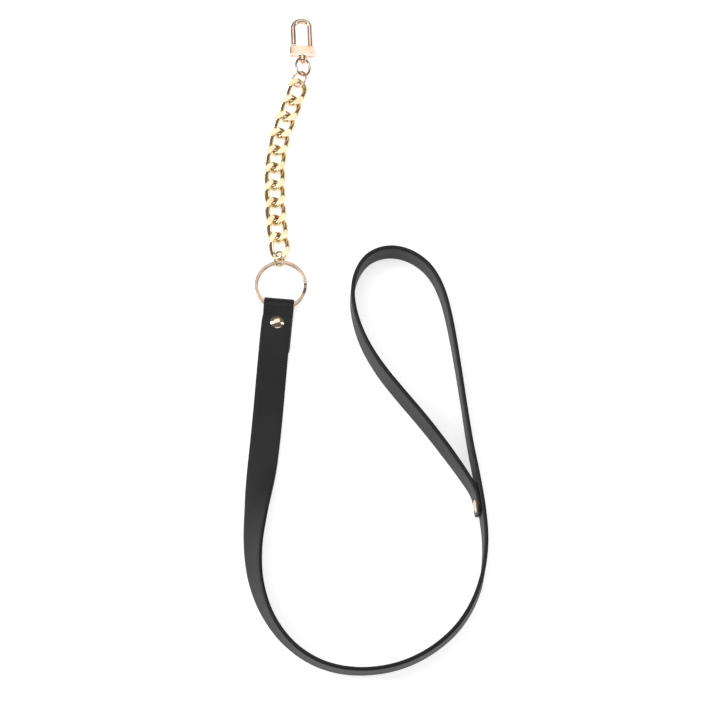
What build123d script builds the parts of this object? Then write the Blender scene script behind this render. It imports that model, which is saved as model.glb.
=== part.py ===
"""Wristlet keychain: leather strap with a wrist loop, split ring, curb chain and swivel clasp.

It lies as it is laid out on a table: +Y runs from the strap's wide bend up to the clasp, +X is to the
right and +Z is up. The origin is under the middle of the whole layout, on the table. Millimetres.
"""
from build123d import *
from math import asin, cos, degrees, pi, radians, sin, tan
import os

# ---- driving dimensions ------------------------------------------------------------------------------
STRAP_WIDTH = 15.0
STRAP_THICK = 2.0
FOLD_THICK = 1.2        # the leather is pared down where it goes round the ring
FOLD_BORE = 5.0         # clear width inside the fold
LAYER_GAP = 0.05        # between two layers that a rivet holds together

RIVET_CAP_RADIUS = 3.5
RIVET_CAP_HEIGHT = 1.3
RIVET_POST_RADIUS = 1.5
RIVET_BACK_RADIUS = 3.2
RIVET_BACK_HEIGHT = 0.5
RIVET_BACK_CHAMFER = 0.15
RIVET_FIT = 0.03        # clearance round the rivet in the leather
CAP_POCKET_RADIUS = 0.9
CAP_POCKET_DEPTH = 0.7
CAP_SINK = 0.15         # how far the loop's cap is pressed into the leather
LOOP_STACK = 4.15       # leather between the two heads of the loop's rivet

RING_RADIUS = 12.3      # to the middle of the wire
RING_WIRE_WIDTH = 1.6
RING_COIL_HEIGHT = 1.05
RING_COIL_GAP = 0.1
RING_STEP_START = -26   # degrees round the ring, from +X
RING_STEP_TURN = 34
RING_EDGE_RADIUS = 0.3

LOWER_JUMP_RADIUS = 3.75
LOWER_JUMP_WIRE = 1.1
UPPER_JUMP_RADIUS = 4.1
UPPER_JUMP_WIRE = 1.0

LINK_WIRE = 2.85
LINK_PITCH = 9.43
LINK_PLAY = 0.35        # gap between two neighbouring links' wires
LINK_WIDTH = 11.1
LINK_TWIST = 43         # degrees, from the middle of a link to each of its ends
LINK_HEIGHT = 4.8       # thickness left after the faces are ground flat
LINK_STATIONS = 16

EYE_WIRE = 1.4
EYE_HALF_WIDTH = 3.9    # to the middle of the wire
EYE_HALF_LENGTH = 4.7
EYE_BOSS_RADIUS = 2.0
EYE_BOSS_HEIGHT = 2.2
EYE_END_GAP = 0.15

SWIVEL_POST_RADIUS = 0.9
SWIVEL_CLEARANCE = 0.08
SWIVEL_HEAD_RADIUS = 1.4
SWIVEL_HEAD_HEIGHT = 1.9
SWIVEL_HEAD_ROUND = 0.8
PRESS_CLEARANCE = 0.01  # round a pin that is pressed into the block

BLOCK_WIDTH = 12.6
BLOCK_LENGTH = 5.4
BLOCK_THICK = 3.8
BLOCK_CORNER = 0.7
BLOCK_CHAMFER = 0.35
HOOK_LENGTH = 20.8      # from the block's lower face to the top of the arch
HOOK_LEG_X = 4.3        # middle of each leg from the clasp's axis
HOOK_WIRE = 2.7

GATE_PIN_RADIUS = 0.55
GATE_PIN_CLEARANCE = 0.06
GATE_PIN_PROUD = 0.1    # how far each end of the pin stands out of the block
GATE_SLOT = 2.0
GATE_THICK = 1.5


# ---- the strap's route -------------------------------------------------------------------------------
# Each point: x, y, and the strap's roll in degrees. At 0 the strap lies flat with its grain side up; at
# 90 it stands on its edge with the grain side to the right of the way it runs.
STRAP_ROUTE = [
    (-44.5, 8.6, 0),
    (-46.6, -16.8, 0),
    (-48.6, -42.8, 1),
    (-50.8, -66.8, 12),
    (-53.5, -88.8, 40),
    (-55.3, -108.8, 56),
    (-53.5, -127.8, 68),
    (-46.7, -145.6, 79),
    (-35.1, -160.0, 87),
    (-19.8, -169.0, 91),
    (-1.9, -171.8, 93),
    (17.1, -168.9, 93),
    (33.9, -160.3, 92),
    (47.4, -147.4, 90),
    (56.5, -129.3, 89),
    (59.2, -108.8, 93),
    (57.6, -90.8, 95),
    (54.6, -71.8, 94),
    (51.7, -56.8, 93),
    (48.7, -34.8, 92),
    (45.7, -13.8, 93),
    (42.5, 6.2, 94),
    (38.6, 22.7, 94),
    (32.3, 34.7, 93),
    (22.6, 42.2, 92),
    (11.3, 44.5, 91),
    (0.9, 40.5, 90),
    (-5.1, 30.9, 89),
    (-6.8, 19.8, 88),
    (-5.0, 7.8, 86),
    (-0.4, -5.2, 83),
    (7.6, -18.8, 81),
    (18.0, -32.0, 80),
    (29.0, -45.4, 80),
    (39.0, -58.8, 81),
    (47.0, -70.4, 83),
    (53.7, -81.0, 85),
    (55.0, -88.0, 85),
    (55.6, -92.8, 85),
]
TAB_LEAN = 5.0          # degrees between the tab and the Y axis, its lower end to the left
FOLD_X, FOLD_Y = -43.3, 16.6
TAB_RIVET_BACK = 8.4    # from the fold's hinge line down to the first rivet
HIDDEN_END_BACK = 25.0  # from the fold's hinge line to the end of the turned-under leather
LOOP_RIVET_BACK = 4.4   # from the strap's end to the loop's rivet
ARC_SHARE = 0.45        # how much of the shorter run an arc takes up
ROUTE_STATION = 7.0     # spacing of the sections along the strap
LIFT_START, LIFT_END = 19.0, 52.0                 # the upper layer comes down to the table between these


def chord_distances(points):
    """Distance of each point along the straight runs between them."""
    distances = [0.0]
    for start, end in zip(points, points[1:]):
        distances.append(distances[-1] + (end - start).length)
    return distances


def corner_radii(points):
    """Arc radius at each inner corner: a share of the shorter run over the tangent of half the turn."""
    radii = []
    for before, here, after in zip(points, points[1:], points[2:]):
        first, second = here - before, after - here
        half_turn = radians(first.get_angle(second)) / 2
        radii.append(ARC_SHARE * min(first.length, second.length) / tan(half_turn))
    return radii


def interpolate(value, table):
    """Straight-line reading of a table of (place, amount) pairs."""
    for (low, start), (high, end) in zip(table, table[1:]):
        if value <= high:
            share = max(0.0, (value - low) / (high - low))
            return start + share * (end - start)
    return table[-1][1]


def placed(centre, heading, pitch=0.0, roll=0.0):
    """Plane of a piece: X across it, Y along it, turned left by heading, raised by pitch, then rolled."""
    turn = Location(centre, (0, 0, heading))
    return Plane(turn * Location((0, 0, 0), (pitch, 0, 0)) * Location((0, 0, 0), (0, roll, 0)))


parts = {}


def keep(name, piece):
    """Label a finished piece and remember it for export."""
    piece.label = name
    parts[name] = piece


# ---- strap -------------------------------------------------------------------------------------------
FOLD_RADIUS = FOLD_BORE / 2 + FOLD_THICK          # outer radius of the fold
UPPER_BOTTOM = STRAP_THICK + LAYER_GAP            # underside of the upper layer at the rivet
tab_plane = Plane(
    origin=(FOLD_X, FOLD_Y, 0),
    x_dir=(sin(radians(TAB_LEAN)), cos(radians(TAB_LEAN)), 0),
    z_dir=(cos(radians(TAB_LEAN)), -sin(radians(TAB_LEAN)), 0),
)
route_points = [Vector(x, y) for x, y, _ in STRAP_ROUTE]
route_rolls = [roll for _, _, roll in STRAP_ROUTE]
with BuildLine() as strap_route:
    FilletPolyline(*route_points, radius=corner_radii(route_points))
route_wire = strap_route.wire()
route_length = route_wire.length
chords = chord_distances(route_points)
roll_table = [(d / chords[-1] * route_length, roll) for d, roll in zip(chords, route_rolls)]
LIFT_TABLE = [(0.0, UPPER_BOTTOM), (LIFT_START, UPPER_BOTTOM), (LIFT_END, 0.0)]


def strap_section(distance):
    """Plane of the strap's section: X across it, Y to its grain side, Z the way the strap runs."""
    share = distance / route_length
    along = route_wire % share
    roll = radians(interpolate(distance, roll_table))
    rise = STRAP_WIDTH / 2 * abs(sin(roll)) + STRAP_THICK / 2 * abs(cos(roll))
    height = interpolate(distance, LIFT_TABLE) + rise
    right = along.cross(Vector(0, 0, 1))
    across = Vector(0, 0, 1) * sin(roll) - right * cos(roll)
    return Plane(origin=route_wire @ share + Vector(0, 0, height), x_dir=across, z_dir=along)


station_count = round(route_length / ROUTE_STATION)
with BuildPart() as strap_run:
    for station in range(station_count + 1):
        with BuildSketch(strap_section(route_length * station / station_count)):
            Rectangle(STRAP_WIDTH, STRAP_THICK)
    loft(ruled=True)

# The tab from the side: X along it with the fold's hinge line at zero, Y up.
FOLD_HALF_BORE = FOLD_BORE / 2
SLOPE_START, SLOPE_END = -1.2, -4.9               # where the two layers close up behind the ring
tab_start = (route_points[0] - Vector(FOLD_X, FOLD_Y)).length
with BuildPart() as tab:
    with BuildSketch(tab_plane):
        with BuildLine():
            Polyline(
                (0, 0), (-HIDDEN_END_BACK, 0), (-HIDDEN_END_BACK, STRAP_THICK), (SLOPE_END, STRAP_THICK),
                (SLOPE_START, FOLD_RADIUS - FOLD_HALF_BORE), (0, FOLD_RADIUS - FOLD_HALF_BORE),
            )
            CenterArc((0, FOLD_RADIUS), FOLD_HALF_BORE, -90, 180)
            Polyline(
                (0, FOLD_RADIUS + FOLD_HALF_BORE), (SLOPE_START, FOLD_RADIUS + FOLD_HALF_BORE),
                (SLOPE_END, UPPER_BOTTOM), (-tab_start, UPPER_BOTTOM),
                (-tab_start, UPPER_BOTTOM + STRAP_THICK), (SLOPE_END, UPPER_BOTTOM + STRAP_THICK),
                (SLOPE_START, 2 * FOLD_RADIUS), (0, 2 * FOLD_RADIUS),
            )
            CenterArc((0, FOLD_RADIUS), FOLD_RADIUS, -90, 180)
        make_face()
    extrude(amount=STRAP_WIDTH / 2, both=True)


def tab_point(back, height):
    """Point on the tab's middle line, measured back from the fold's hinge line."""
    lean = radians(TAB_LEAN)
    return (FOLD_X - back * sin(lean), FOLD_Y - back * cos(lean), height)


# The loop's rivet goes through the strap's end, then through the rising stretch beside it.
end_section = strap_section(route_length - LOOP_RIVET_BACK)
loop_rivet_plane = Plane(
    origin=end_section.origin + end_section.y_dir * (STRAP_THICK / 2 - CAP_SINK),
    x_dir=end_section.x_dir, z_dir=end_section.y_dir,
)
TAB_STACK = 2 * STRAP_THICK + LAYER_GAP
tab_rivet_plane = Plane(origin=tab_point(TAB_RIVET_BACK, TAB_STACK), x_dir=(1, 0, 0), z_dir=(0, 0, 1))

with BuildPart() as strap:
    add(strap_run.part)
    add(tab.part)
    for plane, stack in ((tab_rivet_plane, TAB_STACK), (loop_rivet_plane, LOOP_STACK)):
        with BuildSketch(plane.offset(0.5)):
            Circle(RIVET_POST_RADIUS + RIVET_FIT)
        extrude(amount=-(stack + 1.0), mode=Mode.SUBTRACT)
        with BuildSketch(plane):
            Circle(RIVET_CAP_RADIUS + RIVET_FIT)
        extrude(amount=1.0, mode=Mode.SUBTRACT)
    with BuildSketch(tab_rivet_plane.offset(-TAB_STACK)):
        Circle(RIVET_BACK_RADIUS + RIVET_FIT)
    extrude(amount=RIVET_BACK_HEIGHT + RIVET_FIT, mode=Mode.SUBTRACT)
keep("strap", strap.part)


# ---- rivets ------------------------------------------------------------------------------------------

def rivet(name, plane, stack, sunk):
    """A domed cap on the plane, and below it a post with a flat head, pressed into the cap's pocket."""
    sphere_radius = (RIVET_CAP_RADIUS**2 + RIVET_CAP_HEIGHT**2) / (2 * RIVET_CAP_HEIGHT)
    with BuildPart() as cap:
        with BuildSketch(Plane(plane.origin, x_dir=plane.x_dir, z_dir=-plane.y_dir)):
            with BuildLine():
                Line((CAP_POCKET_RADIUS, 0), (RIVET_CAP_RADIUS, 0))
                RadiusArc((RIVET_CAP_RADIUS, 0), (0, RIVET_CAP_HEIGHT), -sphere_radius)
                Polyline((0, RIVET_CAP_HEIGHT), (0, CAP_POCKET_DEPTH), (CAP_POCKET_RADIUS, CAP_POCKET_DEPTH),
                         (CAP_POCKET_RADIUS, 0))
            make_face()
        revolve(axis=Axis(plane.origin, plane.z_dir))
    keep(f"{name}_rivet_cap", cap.part)

    back_top = -stack + (RIVET_BACK_HEIGHT if sunk else 0.0)
    with BuildPart() as post:
        with BuildSketch(plane.offset(back_top - RIVET_BACK_HEIGHT)):
            Circle(RIVET_BACK_RADIUS)
        extrude(amount=RIVET_BACK_HEIGHT)
        chamfer(post.edges().group_by(SortBy.LENGTH)[-1], RIVET_BACK_CHAMFER)
        with BuildSketch(plane.offset(back_top)):
            Circle(RIVET_POST_RADIUS)
        extrude(amount=-back_top)
        with BuildSketch(plane):
            Circle(CAP_POCKET_RADIUS)
        extrude(amount=CAP_POCKET_DEPTH)
    keep(f"{name}_rivet_post", post.part)


rivet("tab", tab_rivet_plane, TAB_STACK, sunk=True)
rivet("loop", loop_rivet_plane, LOOP_STACK, sunk=False)


# ---- split ring --------------------------------------------------------------------------------------
RING_HINGE_TO_CENTRE = 10.9
RING_FAR_HEIGHT = 2.85  # the far side of the ring rests on the jump ring
ring_pitch = -degrees(asin((FOLD_RADIUS - RING_FAR_HEIGHT) / (RING_HINGE_TO_CENTRE + RING_RADIUS)))
hinge_plane = placed((FOLD_X, FOLD_Y, FOLD_RADIUS), -TAB_LEAN, ring_pitch)
ring_plane = Plane(hinge_plane.from_local_coords((0, RING_HINGE_TO_CENTRE, 0)),
                   x_dir=hinge_plane.x_dir, z_dir=hinge_plane.z_dir)
COIL_RISE = (RING_COIL_HEIGHT + RING_COIL_GAP) / 2
STEP_SECTIONS = 7


def coil_profile(angle, height):
    """Plane of the ring wire's section at an angle round the ring."""
    turn = radians(angle)
    centre = ring_plane.from_local_coords((RING_RADIUS * cos(turn), RING_RADIUS * sin(turn), height))
    outward = centre - ring_plane.from_local_coords((0, 0, height))
    return Plane(centre, x_dir=outward.normalized(), z_dir=ring_plane.z_dir.cross(outward).normalized())


with BuildPart() as split_ring:
    step_end = RING_STEP_START + RING_STEP_TURN
    for start, height in ((step_end, COIL_RISE), (step_end, -COIL_RISE)):
        with BuildSketch(coil_profile(start, height)):
            RectangleRounded(RING_WIRE_WIDTH, RING_COIL_HEIGHT, RING_EDGE_RADIUS)
        revolve(axis=Axis(ring_plane.origin, ring_plane.z_dir), revolution_arc=360 - RING_STEP_TURN)
    for section in range(STEP_SECTIONS + 1):
        share = section / STEP_SECTIONS
        rise = COIL_RISE * cos(pi * share)
        with BuildSketch(coil_profile(RING_STEP_START + RING_STEP_TURN * share, rise)):
            RectangleRounded(RING_WIRE_WIDTH, RING_COIL_HEIGHT, RING_EDGE_RADIUS)
    loft(ruled=True)
keep("split_ring", split_ring.part)


# ---- jump rings --------------------------------------------------------------------------------------
def jump_ring(name, plane, radius, wire):
    """Round wire bent into a closed ring."""
    with BuildPart(plane) as ring:
        Torus(radius, wire / 2)
    keep(name, ring.part)


lower_jump_plane = placed((-43.2, 41.3, 3.67), -16, 0, 56)
upper_jump_plane = placed((-33.8, 139.2, 2.75), -6, 0, -32)
jump_ring("lower_jump_ring", lower_jump_plane, LOWER_JUMP_RADIUS, LOWER_JUMP_WIRE)
jump_ring("upper_jump_ring", upper_jump_plane, UPPER_JUMP_RADIUS, UPPER_JUMP_WIRE)


# ---- curb chain --------------------------------------------------------------------------------------
# From link 10 at the split ring up to link 1 at the clasp: how far each is turned to the left of +Y.
LINK_HEADINGS = [7, 7, 3.5, 2, 0, -5.5, -12, -18.5, -19, -18.5]
CHAIN_START = Vector(-42.47, 42.28, 3.22)            # middle of the lowest link's lower wire
link_half = (LINK_PITCH + LINK_WIRE + LINK_PLAY) / 2
link_side = (LINK_WIDTH - LINK_WIRE) / 2
link_straight = link_half - link_side
chain_height = LINK_HEIGHT / 2
first_pitch = -degrees(asin((CHAIN_START.Z - chain_height) / link_half)) / 2


def heading_vector(heading):
    return Vector(-sin(radians(heading)), cos(radians(heading)))


def link_point(turn):
    """Point of the twisted oval's middle line; turn runs from 0 to 1 round it."""
    arc = pi * link_side
    way = (turn % 1.0) * (4 * link_straight + 2 * arc)
    if way < 2 * link_straight:
        x, y = link_side, way - link_straight
    elif way < 2 * link_straight + arc:
        angle = (way - 2 * link_straight) / link_side
        x, y = link_side * cos(angle), link_straight + link_side * sin(angle)
    elif way < 4 * link_straight + arc:
        x, y = -link_side, 3 * link_straight + arc - way
    else:
        angle = (way - 4 * link_straight - arc) / link_side
        x, y = -link_side * cos(angle), -link_straight - link_side * sin(angle)
    twist = radians(LINK_TWIST) * y / link_half
    return (x * cos(twist), y, -x * sin(twist))


# One link: a twisted oval of round wire with its upper and lower faces ground flat.
with BuildPart() as curb_link:
    with BuildLine() as wire:
        Spline(*[link_point(step / LINK_STATIONS) for step in range(LINK_STATIONS)], periodic=True)
    for half in (wire.edge().trim(0, 0.5), wire.edge().trim(0.5, 1)):
        with BuildSketch(Plane(half @ 0, z_dir=half % 0)):
            Circle(LINK_WIRE / 2)
        sweep(path=half)
    with BuildSketch(Plane.XY.offset(-LINK_HEIGHT / 2)):
        Rectangle(2 * LINK_WIDTH, 3 * LINK_WIDTH)
    extrude(amount=LINK_HEIGHT, mode=Mode.INTERSECT)

link_centre = CHAIN_START + heading_vector(LINK_HEADINGS[0]) * link_half
link_centre.Z = chain_height + link_half * sin(radians(-first_pitch))
for index, heading in enumerate(LINK_HEADINGS):
    if index:
        step = (heading_vector(LINK_HEADINGS[index - 1]) + heading_vector(heading)) * LINK_PITCH / 2
        link_centre = Vector(link_centre.X + step.X, link_centre.Y + step.Y, chain_height)
    with BuildPart() as chain_link:
        with Locations(placed(link_centre, heading, 0.0 if index else first_pitch).location):
            add(curb_link.part)
    keep(f"chain_link_{len(LINK_HEADINGS) - index:02d}", chain_link.part)


# ---- swivel clasp ------------------------------------------------------------------------------------
CLASP_CENTRE = (-32.17, 151.8, 3.0)               # on the swivel's axis, at the block's lower face
CLASP_HEADING, CLASP_PITCH = 2.5, -1
CLASP_ROLL = 10
EYE_ROLL = 28
clasp_plane = placed(CLASP_CENTRE, CLASP_HEADING, CLASP_PITCH, CLASP_ROLL)
eye_axis_plane = placed(CLASP_CENTRE, CLASP_HEADING, CLASP_PITCH, EYE_ROLL)
eye_centre_y = -(EYE_END_GAP + EYE_BOSS_HEIGHT / 2 + EYE_HALF_LENGTH)


def across_axis(plane, y):
    """Plane square to the clasp's axis at a place along it, facing the arch."""
    return Plane(plane.from_local_coords((0, y, 0)), x_dir=plane.x_dir, z_dir=plane.y_dir)


with BuildPart() as swivel_eye:
    with BuildLine(eye_axis_plane) as eye_line:
        EllipticalCenterArc((0, eye_centre_y), EYE_HALF_WIDTH, EYE_HALF_LENGTH, arc_size=360)
    with BuildSketch(Plane(eye_line.line @ 0, z_dir=eye_line.line % 0)):
        Circle(EYE_WIRE / 2)
    sweep(path=eye_line.line)
    with BuildSketch(across_axis(eye_axis_plane, -EYE_END_GAP - EYE_BOSS_HEIGHT)):
        Circle(EYE_BOSS_RADIUS)
    extrude(amount=EYE_BOSS_HEIGHT)
    with BuildSketch(across_axis(eye_axis_plane, -EYE_END_GAP - EYE_BOSS_HEIGHT - 1.0)):
        Circle(SWIVEL_POST_RADIUS + SWIVEL_CLEARANCE)
    extrude(amount=EYE_BOSS_HEIGHT + 2.0, mode=Mode.SUBTRACT)
keep("swivel_eye", swivel_eye.part)

RIVET_BORE_DEPTH = 3.0
HEAD_TOP = -EYE_END_GAP - EYE_BOSS_HEIGHT - 0.1
with BuildPart() as swivel_rivet:
    with BuildSketch(across_axis(clasp_plane, HEAD_TOP)):
        Circle(SWIVEL_POST_RADIUS)
    extrude(amount=RIVET_BORE_DEPTH - HEAD_TOP)
    with BuildSketch(across_axis(clasp_plane, HEAD_TOP - SWIVEL_HEAD_HEIGHT)):
        Circle(SWIVEL_HEAD_RADIUS)
    extrude(amount=SWIVEL_HEAD_HEIGHT)
    fillet(swivel_rivet.edges().sort_by(Axis(clasp_plane.origin, clasp_plane.y_dir))[0], SWIVEL_HEAD_ROUND)
keep("swivel_rivet", swivel_rivet.part)

PIN_X, PIN_Y = -HOOK_LEG_X, 2.9
SLOT_FLOOR, SLOT_END = 1.5, -2.0
NOSE_END = 14.4         # where the nose meets the gate
ARCH_RIGHT_RADIUS, ARCH_LEFT_RADIUS = 3.0, 4.0
ARCH_TOP = HOOK_LENGTH - HOOK_WIRE / 2
with BuildPart() as hook_frame:
    with BuildSketch(clasp_plane.offset(-BLOCK_THICK / 2)):
        with Locations((0, BLOCK_LENGTH / 2)):
            RectangleRounded(BLOCK_WIDTH, BLOCK_LENGTH, BLOCK_CORNER)
    extrude(amount=BLOCK_THICK)
    chamfer(hook_frame.faces().filter_by(clasp_plane).edges(), BLOCK_CHAMFER)
    with BuildLine(clasp_plane) as arch:
        FilletPolyline((HOOK_LEG_X, BLOCK_LENGTH - 1.0), (HOOK_LEG_X, ARCH_TOP), (-HOOK_LEG_X, ARCH_TOP),
                       (-HOOK_LEG_X, NOSE_END), radius=[ARCH_RIGHT_RADIUS, ARCH_LEFT_RADIUS])
    with BuildSketch(Plane(arch.wire() @ 0, z_dir=arch.wire() % 0)):
        Circle(HOOK_WIRE / 2)
    sweep(path=arch.wire())
    with BuildSketch(clasp_plane.offset(-GATE_SLOT / 2)):
        with Locations(((SLOT_END - BLOCK_WIDTH) / 2, (SLOT_FLOOR + BLOCK_LENGTH) / 2 + 0.5)):
            Rectangle(BLOCK_WIDTH + SLOT_END, BLOCK_LENGTH - SLOT_FLOOR + 1.0)
    extrude(amount=GATE_SLOT, mode=Mode.SUBTRACT)
    with BuildSketch(clasp_plane.offset(-BLOCK_THICK)):
        with Locations((PIN_X, PIN_Y)):
            Circle(GATE_PIN_RADIUS + PRESS_CLEARANCE)
    extrude(amount=2 * BLOCK_THICK, mode=Mode.SUBTRACT)
    with BuildSketch(across_axis(clasp_plane, -1.0)):
        Circle(SWIVEL_POST_RADIUS + PRESS_CLEARANCE)
    extrude(amount=RIVET_BORE_DEPTH + 1.0, mode=Mode.SUBTRACT)
keep("hook_frame", hook_frame.part)

with BuildPart() as gate_pin:
    with BuildSketch(clasp_plane.offset(-BLOCK_THICK / 2 - GATE_PIN_PROUD)):
        with Locations((PIN_X, PIN_Y)):
            Circle(GATE_PIN_RADIUS)
    extrude(amount=BLOCK_THICK + 2 * GATE_PIN_PROUD)
keep("gate_pin", gate_pin.part)

KNUCKLE_RADIUS = 1.35
KNUCKLE_THICK = 0.9     # beside the spring
TONGUE_WIDTH = 1.6
LEG_START = BLOCK_LENGTH + 1.0
GATE_END_GAP = 0.15
with BuildPart() as gate:
    with BuildSketch(clasp_plane):
        with Locations((PIN_X, PIN_Y)):
            Circle(KNUCKLE_RADIUS)
        with Locations((PIN_X, (PIN_Y + LEG_START) / 2)):
            Rectangle(TONGUE_WIDTH, LEG_START - PIN_Y)
    extrude(amount=KNUCKLE_THICK)
    with BuildSketch(clasp_plane.offset(-GATE_THICK / 2)):
        with Locations((PIN_X, (PIN_Y + KNUCKLE_RADIUS + LEG_START) / 2 + 0.6)):
            Rectangle(TONGUE_WIDTH, LEG_START - PIN_Y - KNUCKLE_RADIUS + 0.4)
    extrude(amount=GATE_THICK)
    with BuildSketch(across_axis(clasp_plane, LEG_START)):
        with Locations((PIN_X, 0)):
            Circle(HOOK_WIRE / 2 + 0.1)
    extrude(amount=NOSE_END - GATE_END_GAP - LEG_START)
    with BuildSketch(clasp_plane.offset(-GATE_THICK)):
        with Locations((PIN_X, PIN_Y)):
            Circle(GATE_PIN_RADIUS + GATE_PIN_CLEARANCE)
    extrude(amount=2 * GATE_THICK, mode=Mode.SUBTRACT)
keep("gate", gate.part)

SPRING_WIRE = 0.28
SPRING_RADIUS = 0.96
SPRING_PITCH = 0.29
SPRING_TURNS = 2
SPRING_BOTTOM = -0.83
SPRING_TOP = SPRING_BOTTOM + SPRING_PITCH * SPRING_TURNS
BLOCK_LEG, GATE_LEG = 1.2, 2.6                    # the spring's legs on the block and on the gate
with BuildPart() as gate_spring:
    spring_plane = Plane(clasp_plane.from_local_coords((PIN_X, PIN_Y, SPRING_BOTTOM)),
                         x_dir=clasp_plane.x_dir, z_dir=clasp_plane.z_dir)
    with BuildLine(spring_plane) as coil:
        Helix(SPRING_PITCH, SPRING_PITCH * SPRING_TURNS, SPRING_RADIUS)
    with BuildSketch(Plane(coil.edge() @ 0, z_dir=coil.edge() % 0)):
        Circle(SPRING_WIRE / 2)
    sweep(path=coil.edge(), is_frenet=True)
    for height, start, length in ((SPRING_BOTTOM, -BLOCK_LEG, BLOCK_LEG), (SPRING_TOP, 0, GATE_LEG)):
        leg_foot = clasp_plane.from_local_coords((PIN_X + SPRING_RADIUS, PIN_Y + start, height))
        with BuildSketch(Plane(leg_foot, x_dir=clasp_plane.x_dir, z_dir=clasp_plane.y_dir)):
            Circle(SPRING_WIRE / 2)
        extrude(amount=length)
keep("gate_spring", gate_spring.part)


# ---- export ------------------------------------------------------------------------------------------
os.makedirs("parts", exist_ok=True)
for name, piece in parts.items():
    export_step(piece, f"parts/{name}.step")

box = Compound(children=[Part() + piece for piece in parts.values()]).bounding_box()
print("box", [round(v, 2) for v in (*box.min, *box.max)])
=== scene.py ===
"""Wristlet keychain: leather strap, split ring, curb chain and swivel clasp, laid out on a white table.

Metres, +Y from the strap's wide bend to the clasp, +X to its right, +Z up, origin on the table.
"""
from math import cos, pi, radians, sin, sqrt, tan

import bmesh
import bpy
from mathutils import Matrix, Vector


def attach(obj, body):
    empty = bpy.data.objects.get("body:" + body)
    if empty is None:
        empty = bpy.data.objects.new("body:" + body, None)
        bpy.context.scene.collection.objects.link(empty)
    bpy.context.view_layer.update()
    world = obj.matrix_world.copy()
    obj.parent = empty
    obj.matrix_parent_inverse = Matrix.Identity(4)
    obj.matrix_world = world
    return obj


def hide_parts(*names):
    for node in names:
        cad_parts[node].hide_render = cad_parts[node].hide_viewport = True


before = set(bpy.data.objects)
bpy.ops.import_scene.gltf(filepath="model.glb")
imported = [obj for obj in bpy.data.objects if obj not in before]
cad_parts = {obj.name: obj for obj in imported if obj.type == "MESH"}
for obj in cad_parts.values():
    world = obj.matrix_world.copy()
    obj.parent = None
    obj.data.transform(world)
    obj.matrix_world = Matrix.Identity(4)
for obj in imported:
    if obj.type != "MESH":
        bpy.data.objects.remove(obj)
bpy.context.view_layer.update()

MM = 0.001
STRAP_WIDTH = 0.015
STRAP_THICK = 0.002
FOLD_THICK = 0.0012             # the leather is pared where it goes round the ring
END_CORNER = 0.0028             # rounding of the corners at both ends of the strap
UPPER_BOTTOM = 0.00205          # underside of the tab's upper layer

# The strap's route: x, y and its roll in degrees. At 0 it lies flat with its grain side up; at 90 it
# stands on its edge with the grain side to the right of the way it runs.
STRAP_ROUTE = [
    (-0.0445, 0.0086, 0),
    (-0.0466, -0.0168, 0),
    (-0.0486, -0.0428, 1),
    (-0.0508, -0.0668, 12),
    (-0.0535, -0.0888, 40),
    (-0.0553, -0.1088, 56),
    (-0.0535, -0.1278, 68),
    (-0.0467, -0.1456, 79),
    (-0.0351, -0.1600, 87),
    (-0.0198, -0.1690, 91),
    (-0.0019, -0.1718, 93),
    (0.0171, -0.1689, 93),
    (0.0339, -0.1603, 92),
    (0.0474, -0.1474, 90),
    (0.0565, -0.1293, 89),
    (0.0592, -0.1088, 93),
    (0.0576, -0.0908, 95),
    (0.0546, -0.0718, 94),
    (0.0517, -0.0568, 93),
    (0.0487, -0.0348, 92),
    (0.0457, -0.0138, 93),
    (0.0425, 0.0062, 94),
    (0.0386, 0.0227, 94),
    (0.0323, 0.0347, 93),
    (0.0226, 0.0422, 92),
    (0.0113, 0.0445, 91),
    (0.0009, 0.0405, 90),
    (-0.0051, 0.0309, 89),
    (-0.0068, 0.0198, 88),
    (-0.0050, 0.0078, 86),
    (-0.0004, -0.0052, 83),
    (0.0076, -0.0188, 81),
    (0.0180, -0.0320, 80),
    (0.0290, -0.0454, 80),
    (0.0390, -0.0588, 81),
    (0.0470, -0.0704, 83),
    (0.0537, -0.0810, 85),
    (0.0550, -0.0880, 85),
    (0.0556, -0.0928, 85),
]
# The turned-under end and the fold, in the tab's side view: forward of the fold's hinge line, height
# and thickness of the leather.
FOLD_ROUTE = [
    (-0.0250, 0.00100, STRAP_THICK),
    (-0.0140, 0.00100, STRAP_THICK),
    (-0.0050, 0.00100, STRAP_THICK),
    (-0.0012, 0.00060, FOLD_THICK),
    (0.00128, 0.00060, FOLD_THICK),
    (0.00310, 0.00242, FOLD_THICK),
    (0.00310, 0.00498, FOLD_THICK),
    (0.00128, 0.00680, FOLD_THICK),
    (-0.0012, 0.00690, FOLD_THICK),
    (-0.0024, 0.00595, FOLD_THICK),
    (-0.0041, 0.00390, STRAP_THICK),
    (-0.0054, 0.00305, STRAP_THICK),
]
FOLD_HINGE = Vector((-0.0433, 0.0166, 0))
TAB_LEAN = radians(5.0)
LIFT_START, LIFT_END = 0.019, 0.052     # the upper layer comes down to the table between these


# ---- node materials ----------------------------------------------------------------------------------
class Value:
    """A socket with arithmetic: an expression on values adds its Math nodes."""

    def __init__(self, finish, socket):
        self.finish = finish
        self.socket = socket

    def math(self, operation, *others, clamp=False):
        settings = {"operation": operation, "use_clamp": clamp}
        return self.finish.node("ShaderNodeMath", settings, dict(enumerate((self, *others))))

    def __add__(self, other):
        return self.math("ADD", other)

    def __sub__(self, other):
        return self.math("SUBTRACT", other)

    def __rsub__(self, other):
        return self.finish.node("ShaderNodeMath", {"operation": "SUBTRACT"}, {0: other, 1: self})

    def __mul__(self, other):
        return self.math("MULTIPLY", other)

    __radd__ = __add__
    __rmul__ = __mul__


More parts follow.
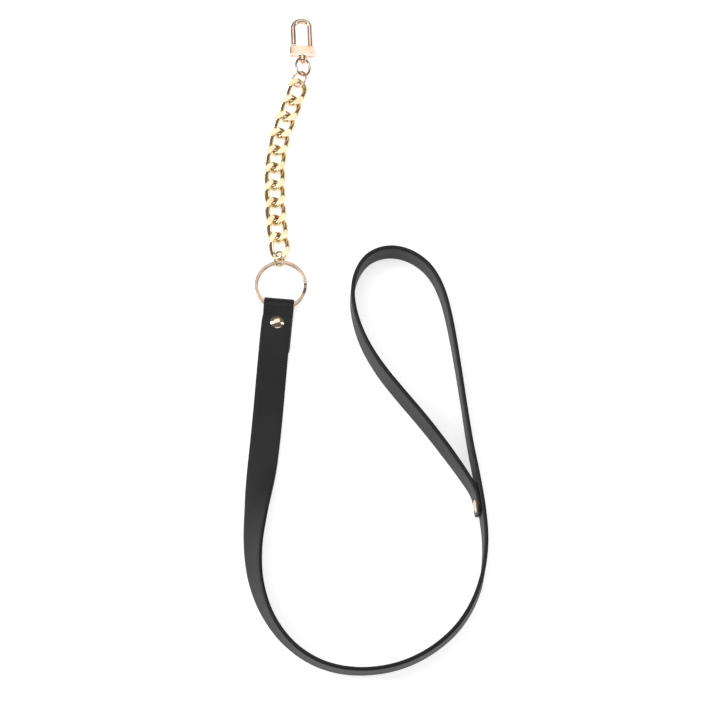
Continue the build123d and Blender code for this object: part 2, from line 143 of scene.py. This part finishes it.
class Finish:
    """One material: node() adds a node, paint() closes it with the surface shader."""

    def __init__(self, name):
        self.material = bpy.data.materials.new(name)
        self.material.use_nodes = True
        self.tree = self.material.node_tree
        self.tree.nodes.clear()
        self.output = self.tree.nodes.new("ShaderNodeOutputMaterial")
        coordinates = self.tree.nodes.new("ShaderNodeTexCoord")
        self.place = Value(self, coordinates.outputs["Object"])

    def node(self, kind, settings, sockets, result=0):
        """A node of a kind, its settings first, then its sockets' values or links; one output."""
        made = self.tree.nodes.new(kind)
        for key, setting in settings.items():
            setattr(made, key, setting)
        for key, value in sockets.items():
            if isinstance(value, Value):
                self.tree.links.new(value.socket, made.inputs[key])
            else:
                made.inputs[key].default_value = value
        return Value(self, made.outputs[result])

    def noise(self, scale, detail=3.0, roughness=0.55):
        sockets = {"Vector": self.place, "Scale": scale, "Detail": detail, "Roughness": roughness}
        return self.node("ShaderNodeTexNoise", {}, sockets)

    def cells(self, scale, feature="F1"):
        return self.node("ShaderNodeTexVoronoi", {"feature": feature}, {"Vector": self.place, "Scale": scale})

    def spread(self, value, low, high, start=0.0, end=1.0):
        """The value's stretch from start to end, laid on low to high."""
        sockets = {"Value": value, "From Min": start, "From Max": end, "To Min": low, "To Max": high}
        return self.node("ShaderNodeMapRange", {}, sockets)

    def blend(self, share, first, second):
        """Colour from first to second as the share goes from 0 to 1."""
        return self.node("ShaderNodeMix", {"data_type": "RGBA"}, {"Factor": share, 6: first, 7: second}, 2)

    def bump(self, height, distance, strength=1.0, under=None):
        sockets = {"Height": height, "Distance": distance, "Strength": strength}
        if under:
            sockets["Normal"] = under
        return self.node("ShaderNodeBump", {}, sockets)

    def paint(self, sockets):
        shader = self.node("ShaderNodeBsdfPrincipled", {}, sockets)
        self.tree.links.new(shader.socket, self.output.inputs["Surface"])
        return self.material


def grain_leather():
    """Charcoal leather's outer side: fine pebbled grain, faint rubbed patches, soft satin."""
    finish = Finish("charcoal_leather_grain")
    pebbles = finish.cells(1500.0, "SMOOTH_F1")
    pores = finish.noise(5200.0, 4.0)
    patches = finish.noise(28.0, 4.0)
    rub = finish.spread(patches, 0.0, 1.0, 0.36, 0.68)
    tone = finish.blend(rub, (0.0135, 0.0138, 0.0148, 1), (0.0190, 0.0194, 0.0206, 1))
    valley = finish.spread(pebbles, 0.0, 0.30, 0.30, 0.75)
    color = finish.blend(valley, tone, (0.008, 0.008, 0.009, 1))
    relief = finish.bump(pores, 0.00002, 0.35, finish.bump(pebbles, -0.00005, 0.40))
    roughness = finish.spread(rub, 0.54, 0.46) + pores * 0.08
    return finish.paint({"Base Color": color, "Roughness": roughness, "Normal": relief,
                         "Specular IOR Level": 0.28, "Sheen Weight": 0.03, "Sheen Roughness": 0.5})


def flesh_leather():
    """The leather's inner side: smooth sealed flesh, a little greyer and more matte."""
    finish = Finish("charcoal_leather_flesh")
    fibres = finish.noise(2600.0, 6.0, 0.7)
    clouds = finish.noise(60.0, 3.0)
    color = finish.blend(finish.spread(clouds, 0.0, 1.0, 0.35, 0.65), (0.024, 0.024, 0.025, 1),
                         (0.034, 0.034, 0.036, 1))
    relief = finish.bump(fibres, 0.00004, 0.5)
    roughness = finish.spread(fibres, 0.52, 0.68)
    return finish.paint({"Base Color": color, "Roughness": roughness, "Normal": relief,
                         "Specular IOR Level": 0.25, "Sheen Weight": 0.06, "Sheen Roughness": 0.6})


def edge_paint():
    """Black edge paint: rolled on, a little glossy, with slow thick and thin places."""
    finish = Finish("black_edge_paint")
    rolls = finish.noise(420.0, 3.0)
    color = finish.blend(rolls, (0.005, 0.005, 0.006, 1), (0.009, 0.009, 0.010, 1))
    relief = finish.bump(rolls, 0.00006, 0.5)
    return finish.paint({"Base Color": color, "Roughness": finish.spread(rolls, 0.30, 0.42),
                         "Normal": relief, "Specular IOR Level": 0.3})


def plated_metal(name, bright, worn, roughness):
    """Polished plate: fine hairline scratches, faint clouding and a warmer tone where it has worn."""
    finish = Finish(name)
    clouds = finish.noise(160.0, 4.0)
    hairlines = finish.noise(9000.0, 2.0, 0.8)
    wear = finish.spread(clouds, 0.0, 1.0, 0.42, 0.66)
    color = finish.blend(wear, bright, worn)
    relief = finish.bump(hairlines, 0.000004, 0.25, finish.bump(clouds, 0.00006, 0.25))
    rough = finish.spread(clouds, roughness, roughness + 0.07, 0.3, 0.7)
    return finish.paint({"Base Color": color, "Metallic": 1.0, "Roughness": rough, "Normal": relief})


def spring_wire():
    """Bright drawn steel."""
    finish = Finish("drawn_steel")
    drawn = finish.noise(3000.0, 2.0)
    color = finish.blend(drawn, (0.50, 0.49, 0.48, 1), (0.64, 0.63, 0.61, 1))
    return finish.paint({"Base Color": color, "Metallic": 1.0, "Roughness": finish.spread(drawn, 0.2, 0.34)})


# ---- strap -------------------------------------------------------------------------------------------
def chord_distances(points):
    """Distance of each point along the straight runs between them."""
    distances = [0.0]
    for start, end in zip(points, points[1:]):
        distances.append(distances[-1] + (end - start).length)
    return distances


def interpolate(value, table):
    """Straight-line reading of a table of (place, amount) pairs."""
    for (low, start), (high, end) in zip(table, table[1:]):
        if value <= high:
            share = max(0.0, (value - low) / (high - low))
            return start + share * (end - start)
    return table[-1][1]


def strap_controls():
    """The whole strap's control points: position, roll in degrees and thickness, fold first."""
    ahead = Vector((sin(TAB_LEAN), cos(TAB_LEAN), 0))
    controls = [(FOLD_HINGE + ahead * forward + Vector((0, 0, height)), 0.0, thick)
                for forward, height, thick in FOLD_ROUTE]
    flat = [Vector((x, y, 0)) for x, y, _ in STRAP_ROUTE]
    lift = [(0.0, UPPER_BOTTOM), (LIFT_START, UPPER_BOTTOM), (LIFT_END, 0.0)]
    for point, distance, (_, _, roll) in zip(flat, chord_distances(flat), STRAP_ROUTE):
        turn = radians(roll)
        rise = STRAP_WIDTH / 2 * abs(sin(turn)) + STRAP_THICK / 2 * abs(cos(turn))
        controls.append((point + Vector((0, 0, interpolate(distance, lift) + rise)), roll, STRAP_THICK))
    return controls


def spline_points(controls, resolution):
    """Points read from a NURBS spline through the route's control points."""
    curve = bpy.data.curves.new("strap_route", "CURVE")
    curve.dimensions = "3D"
    spline = curve.splines.new("NURBS")
    spline.points.add(len(controls) - 1)
    for point, (place, _, _) in zip(spline.points, controls):
        point.co = (*place, 1.0)
    spline.order_u = 3
    spline.use_endpoint_u = True
    curve.resolution_u = resolution
    holder = bpy.data.objects.new("strap_route", curve)
    read = bpy.data.meshes.new_from_object(holder)
    points = [vertex.co.copy() for vertex in read.vertices]
    bpy.data.objects.remove(holder)
    bpy.data.curves.remove(curve)
    bpy.data.meshes.remove(read)
    return points


def end_width(distance):
    """Width of the strap at a distance from its nearer end, whose corners are rounded off."""
    inset = max(0.0, END_CORNER - distance)
    return STRAP_WIDTH - 2 * (END_CORNER - sqrt(END_CORNER**2 - inset**2))


def strap_frames(points, controls):
    """A matrix for each station: X across the strap, Y to its grain side, Z along it."""
    chords = chord_distances([place for place, _, _ in controls])
    stations = chord_distances(points)
    stretch = stations[-1] / chords[-1]
    rolls = [(chord * stretch, roll) for chord, (_, roll, _) in zip(chords, controls)]
    thicks = [(chord * stretch, thick) for chord, (_, _, thick) in zip(chords, controls)]
    side = Vector((-cos(TAB_LEAN), sin(TAB_LEAN), 0))
    matrices = []
    for index, (point, distance) in enumerate(zip(points, stations)):
        along = (points[min(index + 1, len(points) - 1)] - points[max(index - 1, 0)]).normalized()
        if distance > stations[-1] * 0.08:
            side = along.cross(Vector((0, 0, 1))).normalized()
        turn = radians(interpolate(distance, rolls))
        across = side.cross(along).normalized() * sin(turn) - side * cos(turn)
        grain = along.cross(across).normalized()
        thick = interpolate(distance, thicks) / STRAP_THICK
        width = end_width(min(distance, stations[-1] - distance)) / STRAP_WIDTH
        basis = Matrix((across * width, grain * thick, along)).transposed().to_4x4()
        matrices.append(Matrix.Translation(point) @ basis)
    return matrices


def side_finish(height):
    """Material by side: 0 for the grain, 1 for the flesh, 2 for the painted edges."""
    if abs(height) < STRAP_THICK * 0.47:
        return 2
    return 0 if height > 0 else 1


def build_strap():
    """The strap in one piece: a rounded flat section drawn along its route, closed at both ends."""
    controls = strap_controls()
    points = spline_points(controls, 12)
    matrices = strap_frames(points, controls)
    mesh = bmesh.new()
    corners = [mesh.verts.new((x * STRAP_WIDTH / 2, y * STRAP_THICK / 2, 0))
               for x, y in ((-1, -1), (1, -1), (1, 1), (-1, 1))]
    mesh.faces.new(corners)
    bmesh.ops.bevel(mesh, geom=mesh.verts[:], affect="VERTICES", offset=0.0006, segments=3, profile=0.5,
                    material=-1)
    bmesh.ops.delete(mesh, geom=mesh.faces[:], context="FACES_ONLY")
    broad = [edge for edge in mesh.edges if edge.calc_length() > STRAP_WIDTH / 2]
    bmesh.ops.subdivide_edges(mesh, edges=broad, cuts=6)
    bmesh.ops.transform(mesh, matrix=matrices[0], verts=mesh.verts[:])
    first = mesh.edges[:]
    front = first
    for before, here in zip(matrices, matrices[1:]):
        drawn = bmesh.ops.extrude_edge_only(mesh, edges=front)["geom"]
        moved = [item for item in drawn if isinstance(item, bmesh.types.BMVert)]
        front = [item for item in drawn if isinstance(item, bmesh.types.BMEdge)]
        section = before.inverted()
        for face in drawn:
            if isinstance(face, bmesh.types.BMFace):
                face.material_index = side_finish((section @ face.calc_center_median()).y)
        bmesh.ops.transform(mesh, matrix=here @ section, verts=moved)
    bmesh.ops.holes_fill(mesh, edges=first + front, sides=0)
    bmesh.ops.recalc_face_normals(mesh, faces=mesh.faces[:])
    strap = finished_piece("strap_leather", mesh)
    for finish in (grain_leather(), flesh_leather(), edge_paint()):
        strap.data.materials.append(finish)
    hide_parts("strap")
    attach(strap, "strap")
    return strap


def finished_piece(name, mesh):
    """An object at the origin from a bmesh, shaded smooth."""
    data = bpy.data.meshes.new(name)
    mesh.to_mesh(data)
    mesh.free()
    piece = bpy.data.objects.new(name, data)
    bpy.context.scene.collection.objects.link(piece)
    data.shade_smooth()
    return piece


# ---- metal pieces ------------------------------------------------------------------------------------
def finish_metal():
    """The metal pieces keep their own shape; each gets its plate."""
    rose = plated_metal("rose_gold_plate", (0.81, 0.63, 0.49, 1), (0.68, 0.49, 0.36, 1), 0.12)
    yellow = plated_metal("champagne_gold_plate", (0.86, 0.73, 0.50, 1), (0.73, 0.57, 0.34, 1), 0.15)
    ring = plated_metal("rose_gold_ring_wire", (0.60, 0.44, 0.34, 1), (0.46, 0.32, 0.24, 1), 0.16)
    steel = spring_wire()
    for name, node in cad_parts.items():
        if name == "strap":
            continue
        node.data.materials.clear()
        if name == "gate_spring":
            node.data.materials.append(steel)
        elif name == "split_ring":
            node.data.materials.append(ring)
        elif name.startswith("chain_link") or name == "lower_jump_ring":
            node.data.materials.append(yellow)
        else:
            node.data.materials.append(rose)


# ---- table, light and camera -------------------------------------------------------------------------
def build_table():
    """A plain white table that the camera and the metal see as white, with the object's shadow on it."""
    mesh = bmesh.new()
    bmesh.ops.create_grid(mesh, x_segments=1, y_segments=1, size=4.0)
    table = finished_piece("table", mesh)
    table.location.z = 0.0
    finish = Finish("white_table")
    rays = finish.tree.nodes.new("ShaderNodeLightPath")
    seen = Value(finish, rays.outputs["Is Camera Ray"]) + Value(finish, rays.outputs["Is Glossy Ray"])
    seen = seen.math("ADD", Value(finish, rays.outputs["Is Transmission Ray"]), clamp=True)
    cloth = finish.node("ShaderNodeBsdfDiffuse", {}, {"Color": (0.86, 0.86, 0.86, 1)})
    glow = finish.node("ShaderNodeEmission", {}, {"Color": (1, 1, 1, 1), "Strength": 0.62})
    both = finish.node("ShaderNodeAddShader", {}, {0: cloth, 1: glow})
    mixed = finish.node("ShaderNodeMixShader", {}, {0: seen, 1: cloth, 2: both})
    finish.tree.links.new(mixed.socket, finish.output.inputs["Surface"])
    table.data.materials.append(finish.material)


def softbox(name, place, aim, size, power):
    """A rectangular soft light turned towards a point."""
    light = bpy.data.lights.new(name, "AREA")
    light.shape = "RECTANGLE"
    light.size, light.size_y = size
    light.energy = power
    lamp = bpy.data.objects.new(name, light)
    bpy.context.scene.collection.objects.link(lamp)
    lamp.location = place
    lamp.rotation_euler = (Vector(aim) - Vector(place)).to_track_quat("-Z", "Y").to_euler()


def build_light():
    """A dim even room with four softboxes; the gaps between them give the metal its dark bands."""
    world = bpy.data.worlds.new("studio")
    world.use_nodes = True
    background = world.node_tree.nodes["Background"]
    background.inputs["Color"].default_value = (0.80, 0.81, 0.83, 1)
    background.inputs["Strength"].default_value = 0.20
    bpy.context.scene.world = world
    softbox("overhead_softbox", (-0.10, 0.36, 1.10), (0, 0, 0), (1.3, 0.9), 4.6)
    softbox("left_softbox", (-0.95, 0.05, 0.60), (0, 0, 0), (0.4, 1.0), 6.0)
    softbox("right_softbox", (0.95, -0.10, 0.55), (0, 0, 0), (0.3, 0.9), 2.2)
    softbox("front_softbox", (0.05, -0.95, 0.45), (0, -0.05, 0), (1.2, 0.3), 3.0)


CAMERA_TARGET = Vector((-0.0026, -0.0108, 0))
CAMERA_ELEVATION = radians(72.5)
CAMERA_ANGLE = radians(12.0)
FRAME_HEIGHT = 0.36             # what the view takes in, across the target


def build_camera():
    """Looks down along +Y at 72.5 degrees, from as far as the narrow view needs."""
    lens = bpy.data.cameras.new("camera")
    lens.sensor_fit = "HORIZONTAL"
    lens.angle = CAMERA_ANGLE
    camera = bpy.data.objects.new("camera", lens)
    bpy.context.scene.collection.objects.link(camera)
    distance = FRAME_HEIGHT / 2 / tan(CAMERA_ANGLE / 2)
    camera.location = CAMERA_TARGET + Vector((0, -cos(CAMERA_ELEVATION), sin(CAMERA_ELEVATION))) * distance
    camera.rotation_euler = (pi / 2 - CAMERA_ELEVATION, 0, 0)
    bpy.context.scene.camera = camera


build_camera()
build_light()
build_table()
build_strap()
finish_metal()
bpy.context.scene.view_settings.view_transform = "Standard"
